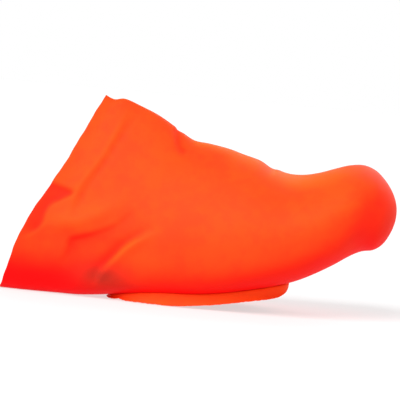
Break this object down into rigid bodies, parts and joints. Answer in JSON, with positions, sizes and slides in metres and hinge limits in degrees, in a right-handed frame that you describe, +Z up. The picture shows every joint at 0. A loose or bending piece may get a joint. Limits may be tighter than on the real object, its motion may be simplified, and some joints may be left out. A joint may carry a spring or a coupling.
{
  "type": "cycling toe cover",
  "caption": "Stretch latex sleeve pulled over the toe of a cycling shoe, open at a slanting rear edge and underneath for the cleat.",
  "frame": {"origin": "on the floor, under the middle of the cover's length and width", "axes": "+X to the toe, +Y to the side away from the camera, +Z up"},
  "size_m": [0.2, 0.086, 0.1032],
  "materials": {
    "latex": "satin",
    "rim_latex": "satin"
  },
  "bodies": {
    "root": {"upper": "latex", "cleat_rim": "rim_latex"}
  },
  "joints": []
}
